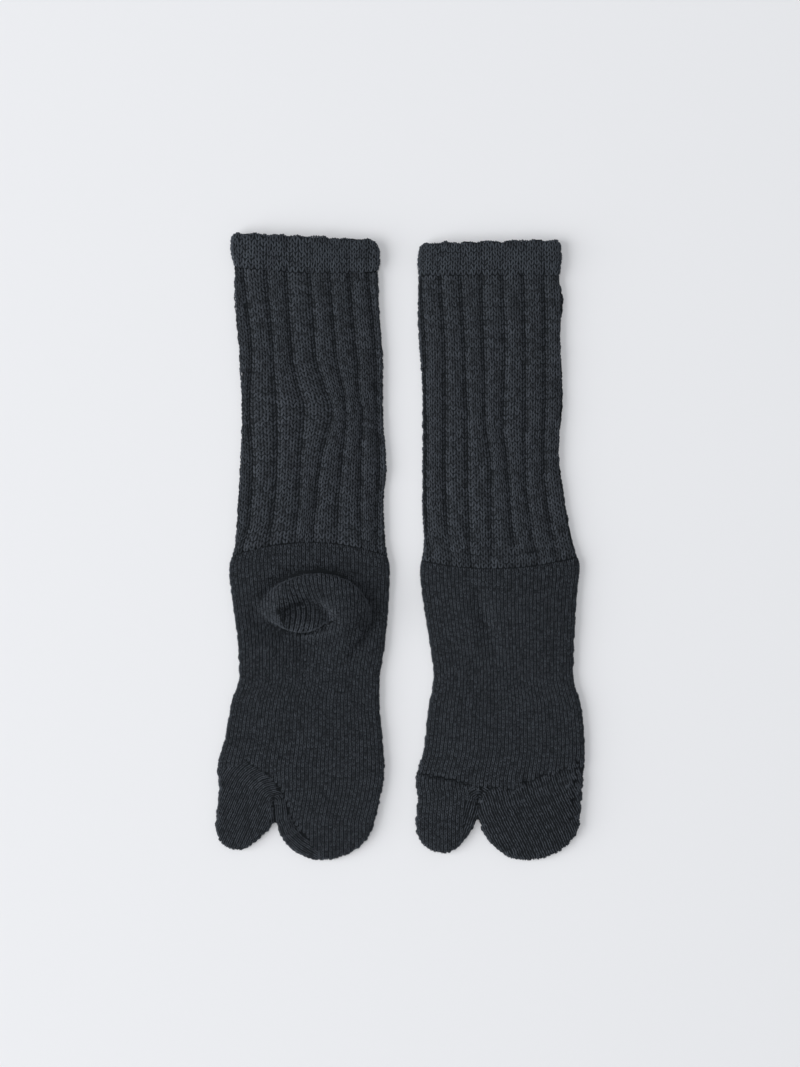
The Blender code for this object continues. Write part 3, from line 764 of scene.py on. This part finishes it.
KNITTING = knitting_tree()
UNEVENNESS = 0.07       # each stitch is off by up to this share of its size


def knit(name, seats, stitch, seed, yarn=LOOP):
    """Knits one object: a stitch at each seat, given as place, across, along and out."""
    data = bpy.data.meshes.new(name)
    data.from_pydata((seats[0] * MM).tolist(), [], [])
    for key, vectors in zip(("across", "along", "out"), seats[1:]):
        attribute = data.attributes.new(key, "FLOAT_VECTOR", "POINT")
        attribute.data.foreach_set("vector", (vectors * MM).ravel())
    made = bpy.data.objects.new(name, data)
    bpy.context.scene.collection.objects.link(made)
    modifier = made.modifiers.new("knit", "NODES")
    modifier.node_group = KNITTING
    values = {"Stitch": stitch, "Yarn": yarn, "Unevenness": UNEVENNESS, "Seed": seed}
    for item in KNITTING.interface.items_tree:
        if item.name in values:
            modifier[item.identifier] = values[item.name]
    graph = bpy.context.evaluated_depsgraph_get()
    real = bpy.data.meshes.new_from_object(made.evaluated_get(graph))
    made.modifiers.clear()
    made.data = real
    real.name = name
    real.shade_smooth()
    return made


WAVER = np.random.default_rng(4)
WAVER_SHARE = 0.05      # the corners between stitches are off by about this share of a wale


def cells(corners):
    """The centre of each cell in a grid of places, and the way across and along it.

    The grid's rows run from the mouth down.
    """
    a, b = corners[:-1, :-1], corners[:-1, 1:]
    c, d = corners[1:, :-1], corners[1:, 1:]
    parts = 0.25 * (a + b + c + d), 0.5 * (b - a + d - c), 0.5 * (a - c + b - d)
    return [part.reshape(-1, corners.shape[2]) for part in parts]


def seats_of(corners, thick):
    """A seat in each cell of a grid of corner places."""
    corners = corners + WAVER.normal(0, WAVER_SHARE * thick, corners.shape)
    centre, across, along = cells(corners)
    out = np.cross(across, along)
    out *= thick / np.linalg.norm(out, axis=1, keepdims=True)
    return np.stack((centre, across, along, out))


SINK = 0.2              # a stitch's crest stands this share of a wale above its seat
GROUND_UNDER = 0.13     # the ground lies this share of a wale below the seats
INSIDE = 2.6            # the plain inside lies this deep
GROUND_SLACK = 1.4      # furrows in the ground are this much wider
GROUND_EDGES = np.array((0.0, 0.14, 0.5, 0.86))


def ribbed_seats(around, wale):
    """Seats in the four wales of each rib."""
    return np.concatenate([seats_of(rib, wale) for rib in np.split(around, RIBS, axis=1)], axis=1)


SEAM_GAP = 0.02         # between the cloths of cuff, leg and foot
WELT_GAP = 0.5          # the row of small holes where the welt is sewn down
for name, sock in SOCKS.items():
    top, base = sock.courses[1].y - SEAM_GAP, sock.courses[2].y + SEAM_GAP
    rows = np.linspace(top - WELT_GAP, base, 1 + round((top - base) / LEG_COURSE))
    ground_rows = np.linspace(top, base, len(rows) // 2)
    place, out, relief = ribbed_rows(sock, rows, EDGE_ROLL, LEG_EDGES, RIB_DEPTH)
    seats = ribbed_seats(place + out * (relief - SINK * LEG_WALE), LEG_WALE)
    stitches = knit(f"{name}_leg_stitches", seats, BROAD_STITCH, seed=3)
    place, out, relief = ribbed_rows(
        sock, ground_rows, EDGE_ROLL, GROUND_EDGES, RIB_DEPTH, GROUND_SLACK
    )
    ground = place + out * (relief - (SINK + GROUND_UNDER) * LEG_WALE)
    cloth = wall_object(f"{name}_leg_cloth", ground, place - out * INSIDE, SHADED_GROUND)
    for piece in (cloth, stitches):
        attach(piece, "root")
    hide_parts(f"{name}_leg")

# ---------------------------------------------------------------------------------------
# Cuffs. The welt round each mouth: the same ribbing, turned over and sewn down inside, so
# it is twice as thick, its stitches point upwards and its ribs show only faintly.
# ---------------------------------------------------------------------------------------

# Doubled and pulled in less, the welt shows wide-open stitches; they look lighter because the welt's yarn
# below is painted lighter, as painted light
WELT_LOOP = (
    Station(0.10, -0.70, -0.22, 0.07, 0.05),
    Station(0.17, -0.33, -0.07, 0.15, 0.19),
    Station(0.33, 0.26, -0.05, 0.16, 0.21),
    Station(0.42, 0.68, -0.24, 0.08, 0.05),
)
WELT_STITCH = make_stitch("welt stitch", WELT_LOOP)
# The legs' charcoal yarn, painted lighter here as painted light on the doubled, open stitches of the welt
LIT_WELT_YARN = cotton_yarn("charcoal cotton yarn, painted lighter for the welt", "272A30", "40464D")
WELT_ROLL = 3.9
WELT_RIB_DEPTH = 0.5
LIP = 1.5               # the rim turns over with this radius
CUFF_ROWS = 8
LIP_ROWS = 3


def turned_over(sock, deep, edges):
    """Rows up the welt, over its rim and down inside, lying this deep in the cloth."""
    top, base = sock.courses[0].y, sock.courses[1].y + SEAM_GAP
    climb = np.linspace(base, top - LIP, CUFF_ROWS)
    turn = np.linspace(0, math.pi, LIP_ROWS + 1)
    reach = LIP - deep
    y = np.concatenate((climb, top - LIP + reach * np.sin(turn[1:-1]), climb[::-1]))
    swing = np.concatenate((0 * climb, turn[1:-1], 0 * climb + math.pi))
    place, out, relief = ribbed_rows(sock, y[::-1], WELT_ROLL, edges, WELT_RIB_DEPTH)
    facing = np.cos(swing[::-1])[:, None, None]
    return place + out * (reach * facing - LIP + relief * np.maximum(facing, 0))


for name, sock in SOCKS.items():
    around = turned_over(sock, SINK * LEG_WALE, LEG_EDGES)
    seats = ribbed_seats(around, LEG_WALE)
    stitches = knit(f"{name}_cuff_stitches", seats, WELT_STITCH, seed=5, yarn=LIT_WELT_YARN)
    skin = turned_over(sock, (SINK + GROUND_UNDER) * LEG_WALE, GROUND_EDGES)
    half = len(skin) // 2
    cloth = wall_object(f"{name}_cuff_cloth", skin[half:], skin[: len(skin) - half][::-1], SHADED_GROUND)
    for piece in (cloth, stitches):
        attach(piece, "root")
    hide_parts(f"{name}_cuff")

# ---------------------------------------------------------------------------------------
# Feet. Plain knitting in finer gauge from the ankle down, with the heel's cup in it, to
# where the toe pockets begin.
# ---------------------------------------------------------------------------------------

# The finer stitch is closer, so that its wales show more than its courses
FINE_LOOP = (
    Station(0.10, -0.72, -0.24, 0.07, 0.04),
    Station(0.15, -0.34, -0.06, 0.13, 0.21),
    Station(0.24, 0.24, -0.04, 0.13, 0.23),
    Station(0.32, 0.66, -0.24, 0.07, 0.04),
)
FINE_STITCH = make_stitch("fine stitch", FINE_LOOP)
# The same yarn where it is knitted close, so that its plies catch the light unevenly
FINE_YARN = cotton_yarn("charcoal cotton yarn, close knit", "12151A", "43484F")
FOOT_WALES = 44         # on each face
FOOT_WALE = 2.2
FOOT_COURSE = 1.63
TOE_BOX = -136.0        # the toes' own wales may start here
FULLER_ROWS = 1.05      # a few more rows than lie flat, pushed together


def flat_reach(sock, y, roll):
    """The flat cloth's left and right limits, with its share of the rolled sides."""
    left, right, _ = section_at(sock, y)
    spare = (math.pi / 2 - 1) * roll
    return left - spare, right + spare


def foot_grid(sock, y):
    """Places and outward ways where the foot's wales meet each y."""
    low, high = flat_reach(sock, y, EDGE_ROLL)
    lap = (high - low) * np.arange(2 * FOOT_WALES + 1) / FOOT_WALES
    return round_the_tube(sock, y, lap, EDGE_ROLL)


MEASURING_STEP = 1.4
ANKLE_GAP = 0.6         # between the leg's last row of stitches and the foot's first
for name, sock in SOCKS.items():
    top = sock.courses[2].y - ANKLE_GAP
    fine = np.linspace(top, TOE_BOX, 1 + round((top - TOE_BOX) / MEASURING_STEP))
    steps = np.linalg.norm(np.diff(foot_grid(sock, fine[:, None])[0], axis=0), axis=2)
    gone = np.concatenate((0 * steps[:1], np.cumsum(steps, axis=0)))
    share = np.linspace(0, 1, 1 + round(np.median(gone[-1]) * FULLER_ROWS / FOOT_COURSE))
    rows = np.stack([np.interp(share * column[-1], column, fine) for column in gone.T], 1)
    place, out = foot_grid(sock, rows)
    seats = seats_of(place - out * SINK * FOOT_WALE, FOOT_WALE)
    stitches = knit(f"{name}_foot_stitches", seats, FINE_STITCH, seed=7, yarn=FINE_YARN)
    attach(stitches, "root")

# ---------------------------------------------------------------------------------------
# Toes. Two pockets knitted on at an angle, so that their wales sweep round the split. The
# cloth under the stitches is made here for toes and foot in one.
# ---------------------------------------------------------------------------------------

# The run of the wales beside the split, from its foot: big toe's side, top, four toes' side
SOLE_SWEEP = (
    (-17.3, -23.6), (-1.3, 12.9), (-0.3, 0.4), (4.2, -10.6), (12.2, -18.1), (24.2, -25.6), (36.0, -31.0),
)
INSTEP_SWEEP = (
    (-12.0, -24.0), (-4.0, -1.0), (0.0, 12.5), (3.0, 3.0), (8.5, -9.0), (15.0, -22.0), (32.0, -62.0),
)
# The seam that joins the toes' wales to the foot's, across the sole and across the instep
SOLE_SEAM = (
    (-60.0, 42.0), (-40.0, 34.0), (-16.8, 38.4), (-6.4, 31.4), (0.6, 25.7), (4.5, 16.7),
    (7.7, 9.0), (10.9, 1.4), (14.1, -3.1), (22.0, -12.0), (28.0, -20.0), (31.0, -32.0),
)
INSTEP_SEAM = (
    (-13.0, -60.0), (-12.0, -20.0), (-9.0, 2.0), (-8.0, 12.0), (-5.0, 20.5), (5.0, 20.6),
    (14.1, 20.6), (22.4, 18.7), (30.7, 24.5), (43.0, 28.5), (54.0, 32.0), (70.0, 36.0),
)
SOLE_WALE = 2.65
INSTEP_WALE = 3.25
TOE_COURSE = 1.7
TOE_END = -206.0        # below both tips
TOE_REACH = 70.0        # from the sweep to the toes' far side
LINES_BEFORE = 5        # wales on the sweep's other side
LAPPING = 0.8           # plain stitches lap this far over the seam
PAST_SIDE = 0.2         # a seat may lie this far past the side of the flat cloth
LINES_MEET = 1.0        # a place this much nearer to another part of the sweep is left to it
OUT_OF_LINE = 0.6       # a seat whose middle lies this far off bridges a fold
STRETCHED = 1.6         # so does one this many times its size in plan,
DRAWN_OUT = 2.6         # or this many times in all
# On the toes the wales are pulled apart, and each one reads as a cord
CORD_LOOP = (
    Station(0.19, -0.80, -0.12, 0.09, 0.06),
    Station(0.21, -0.36, -0.05, 0.12, 0.20),
    Station(0.23, 0.28, -0.04, 0.12, 0.21),
    Station(0.25, 0.78, -0.12, 0.09, 0.06),
)
CORD_STITCH = make_stitch("cord stitch", CORD_LOOP)


def swept_lines(sweep, wale, reach):
    """Places along lines that run beside the sweep, a wale apart, with the way along each."""
    points = np.array(sweep)
    run = np.diff(points, axis=0)
    length = np.linalg.norm(run, axis=1)
    heading = np.unwrap(np.arctan2(run[:, 1], run[:, 0]))
    found = []
    for off in (np.arange(-LINES_BEFORE, int(reach / wale)) + 0.5) * wale:
        for i in range(len(run)):
            steps = max(1, round(length[i] / TOE_COURSE))
            share = (np.arange(steps) + 0.5) / steps
            base = points[i] + run[i] * share[:, None]
            found.append((base, 0 * share + heading[i], length[i] / steps, off))
            turn = heading[i] - heading[i - 1] if i else 0.0
            if turn * off < 0:
                steps = max(1, round(abs(turn * off) / TOE_COURSE))
                share = (np.arange(steps) + 0.5) / steps
                facing = heading[i - 1] + turn * share
                found.append((points[i] + 0 * share[:, None], facing, abs(turn * off) / steps, off))
    lines = []
    for base, facing, course, off in found:
        along = np.stack((np.cos(facing), np.sin(facing)), 1)
        place = base + np.stack((-along[:, 1], along[:, 0]), 1) * off
        far = off_line(sweep, *place.T)[0]
        true = np.abs(np.abs(far) - abs(off)) < LINES_MEET
        lines.append(np.concatenate((place, along * course), 1)[true])
    return np.concatenate(lines)


def flat_seats(sock, face, centre, across, along, wale):
    """Seats for stitches laid out on the flat cloth, on one face of the sock."""
    across = across * face

    def laid(shift):
        x, y = (centre + shift).T
        return fold(sock, face, x, y, EDGE_ROLL)

    def times_longer(laid_out, flat):
        return np.linalg.norm(laid_out, axis=1) / np.linalg.norm(flat, axis=1)

    wide = laid(across / 2) - laid(-across / 2)
    long = laid(along / 2) - laid(-along / 2)
    out = np.cross(wide, long)
    out /= np.linalg.norm(out, axis=1, keepdims=True)
    seats = np.stack((laid(0) - out * SINK * wale, wide, long, out * wale))
    bridging = times_longer(wide[:, :2], across) > STRETCHED
    bridging |= times_longer(long[:, :2], along) > STRETCHED
    bridging |= times_longer(wide, across) > DRAWN_OUT
    for way in (across, along):
        middle = 0.5 * (laid(way / 2) + laid(-way / 2))
        bridging |= np.linalg.norm((middle - laid(0))[:, :2], axis=1) > OUT_OF_LINE
    if face > 0:
        bridging |= left_out(sock, seats[0, :, 0] - sock.centre, seats[0, :, 1])
    return seats[:, ~bridging]


def toe_seats(sock, face, sweep, seam, wale):
    """Seats on one face of the toes: along the swept wales, and along the straight ones."""
    root = np.array((sock.crotch, sock.sections[-1].y))
    lines = swept_lines(sweep, wale, TOE_REACH)
    centre, along = lines[:, :2], lines[:, 2:]
    across = np.stack((along[:, 1], -along[:, 0]), 1)
    across *= wale / np.linalg.norm(across, axis=1, keepdims=True)
    swept = off_line(seam, *centre.T)[0] < 0
    families = [(centre[swept] + root, across[swept], along[swept], wale)]

    rows = np.arange(TOE_BOX, TOE_END, -FOOT_COURSE)
    low, high = flat_reach(sock, np.maximum(rows, root[1]), EDGE_ROLL)
    x = low[:, None] + (high - low)[:, None] * np.arange(FOOT_WALES + 1) / FOOT_WALES
    centre, across, along = cells(np.stack((x, np.broadcast_to(rows[:, None], x.shape)), 2))
    straight = off_line(seam, *(centre - root).T)[0] > -LAPPING
    families.append((centre[straight], across[straight], along[straight], FOOT_WALE))

    seats = []
    for centre, across, along, wale in families:
        depth = nearest_side(sock, centre[:, 0], centre[:, 1])[0]
        kept = (depth > -(math.pi / 2 - 1) * EDGE_ROLL - PAST_SIDE) & (centre[:, 1] < TOE_BOX)
        seats.append(flat_seats(sock, face, centre[kept], across[kept], along[kept], wale))
    return seats


ROLL_DEPTHS = (-0.7, 0.3, 1.4, 2.6, 4.0, 6.0)      # rows of points beside the outline
SAME_DEPTH = 0.03       # a point of such a row is kept when no other side lies nearer
SIDE_TRIES = 12         # in a tight corner the cloth is let out only part of the way
GRID_STEP = 2.0
GRID_CLEAR = 1.5        # between the last such row and the square grid inside it
PATTERN_HALF = 70       # the pattern's half width and its end, past the cloth
PATTERN_END = -210
TOP_CLEAR = 1.0         # the row along the top is kept free by this much
POINTS_JOIN = 0.01
FOOT_INSIDE = 2.3       # the plain inside lies this deep,
LEAST_INSIDE = 0.9      # and at least this high above the floor


def foot_pattern(sock):
    """The flat foot as triangles: its points, faces, which points are on its side, its top."""
    top = sock.courses[2].y - SEAM_GAP
    outline = OUTLINES[sock]
    run = np.diff(outline, axis=0)
    way_in = np.stack((-run[:, 1], run[:, 0]), 1)
    way_in /= np.linalg.norm(way_in, axis=1, keepdims=True)
    middle = 0.5 * (outline[1:] + outline[:-1])

    def beside(depth):
        place = middle + way_in * depth
        true_depth = nearest_side(sock, place[:, 0], place[:, 1])[0]
        return place, np.abs(true_depth - depth) < SAME_DEPTH

    low, high = flat_reach(sock, np.array([top]), EDGE_ROLL)
    side = middle.copy()
    for spare in np.linspace(0, (math.pi / 2 - 1) * EDGE_ROLL, SIDE_TRIES):
        place, free = beside(-spare)
        side[free] = place[free]
    side = side[side[:, 1] < top - TOP_CLEAR]
    side = np.concatenate(([(low[0], top)], side, [(high[0], top)]))
    x = np.arange(low[0] + GRID_STEP, high[0] - TOP_CLEAR, GRID_STEP)
    rim = np.stack((x[::-1], np.full(len(x), top)), 1)
    axes = np.meshgrid(
        np.arange(-PATTERN_HALF, PATTERN_HALF, GRID_STEP),
        np.arange(PATTERN_END, top - GRID_STEP, GRID_STEP),
    )
    grid = np.stack([axis.ravel() for axis in axes], 1)
    grid = grid[nearest_side(sock, grid[:, 0], grid[:, 1])[0] > ROLL_DEPTHS[-1] + GRID_CLEAR]
    beds = [beside(depth) for depth in ROLL_DEPTHS]
    inner = np.concatenate([place[free] for place, free in beds])
    inner = inner[inner[:, 1] < top - TOP_CLEAR]
    points = np.concatenate((side, rim, inner, grid))
    border = list(range(len(side) + len(rim)))
    places = [Vector(point) for point in points]
    flat, _, faces, origins, _, _ = delaunay_2d_cdt(places, [], [border], 1, POINTS_JOIN)
    on_side = np.array([any(i < len(side) for i in origin) for origin in origins])
    return np.array([tuple(p) for p in flat]), np.array([tuple(f) for f in faces]), on_side, top


def foot_cloth(name, sock):
    """The foot's cloth: one pattern laid above and below, joined down its sides."""
    flat, faces, on_side, top = foot_pattern(sock)
    count = len(flat)
    upper, upper_out = surface(sock, 1, flat[:, 0], flat[:, 1], EDGE_ROLL, GROUND_SLACK)
    under, under_out = surface(sock, -1, flat[:, 0], flat[:, 1], EDGE_ROLL)
    upper[on_side] = 0.5 * (upper + under)[on_side]
    upper_out[on_side] += under_out[on_side]
    place, out = np.concatenate((upper, under)), np.concatenate((upper_out, under_out))
    out /= np.linalg.norm(out, axis=1, keepdims=True)
    number = np.arange(count)
    below = np.where(on_side, number, count + number)
    skin = np.concatenate((faces, below[faces[:, ::-1]]))
    rim = np.flatnonzero(np.abs(flat[:, 1] - top) < 1e-3)
    rim = rim[np.argsort(flat[rim, 0])]
    ring = np.concatenate((rim, below[rim[-2:0:-1]]))
    mouth = np.stack((ring, 2 * count + ring, 2 * count + np.roll(ring, -1), np.roll(ring, -1)), 1)
    outside = place - out * (SINK + GROUND_UNDER) * FOOT_WALE
    inside = place - out * FOOT_INSIDE
    inside[:count, 2] = np.maximum(inside[:count, 2], LEAST_INSIDE)
    places = np.concatenate((outside, inside))
    triangles = np.concatenate((skin, 2 * count + skin[:, ::-1]))
    faces = triangles.tolist() + mouth.tolist()
    used = np.unique(np.concatenate([np.array(f) for f in faces]))
    renumber = np.zeros(len(places), int)
    renumber[used] = np.arange(len(used))
    return new_object(name, places[used], [renumber[f].tolist() for f in faces], SHADED_GROUND)


for name, sock in SOCKS.items():
    sole_face = 1 if sock is SOLE_UP else -1
    sole = toe_seats(sock, sole_face, SOLE_SWEEP, SOLE_SEAM, SOLE_WALE)
    instep = toe_seats(sock, -sole_face, INSTEP_SWEEP, INSTEP_SEAM, INSTEP_WALE)
    swept, straight = (np.concatenate(pair, axis=1) for pair in zip(sole, instep))
    cords = knit(f"{name}_toe_cords", swept, CORD_STITCH, seed=9, yarn=FINE_YARN)
    stitches = knit(f"{name}_toe_stitches", straight, FINE_STITCH, seed=11, yarn=FINE_YARN)
    cloth = foot_cloth(f"{name}_foot_cloth", sock)
    for piece in (cloth, cords, stitches):
        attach(piece, "root")
    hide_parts(f"{name}_foot")

# ---------------------------------------------------------------------------------------
# Floor, light and camera. The socks lie on a wide pale board, with one softbox above them
# and a broad one on their left, and are seen from straight above.
# ---------------------------------------------------------------------------------------

FLOOR_HALF = 2000
FLOOR_DOWN = 0.4        # the stitches underneath stand out this far below the cloth

# Matt paint, nearly white and a little cool, that takes soft shadows and has no shine
floor_paint, _ = new_material("pale matt floor", {"Base Color": colour("E5E6E9"), "Roughness": 0.9})
corners = [
    (x * FLOOR_HALF, y * FLOOR_HALF, -FLOOR_DOWN) for x, y in ((-1, -1), (1, -1), (1, 1), (-1, 1))
]
floor = new_object("floor", corners, [(0, 1, 2, 3)], floor_paint)

world = bpy.data.worlds.new("studio")
world.use_nodes = True
background = world.node_tree.nodes["Background"]
background.inputs["Color"].default_value = (0.96, 0.98, 1.0, 1.0)
background.inputs["Strength"].default_value = 0.25
bpy.context.scene.world = world


def softbox(name, size, energy, place):
    """A square light that faces the middle of the floor."""
    light = bpy.data.lights.new(name, "AREA")
    light.size = size
    light.energy = energy
    made = bpy.data.objects.new(name, light)
    made.location = place
    made.rotation_euler = Vector(place).to_track_quat("Z", "Y").to_euler()
    bpy.context.scene.collection.objects.link(made)
    return made


# Sizes and places in metres, energy in watts
overhead = softbox("overhead softbox", size=2.0, energy=140, place=(0.0, 0.7, 6.0))
side = softbox("side softbox", size=5.4, energy=376, place=(-4.9, -1.2, 2.7))

# A long lens, straight above the middle of the pair
camera = bpy.data.cameras.new("camera")
camera.lens = 85
camera.sensor_width = 36
camera_object = bpy.data.objects.new("camera", camera)
camera_object.location = (0.0003, 0.0083, 1.616)
bpy.context.scene.collection.objects.link(camera_object)
bpy.context.scene.camera = camera_object
bpy.context.scene.view_settings.view_transform = "Standard"
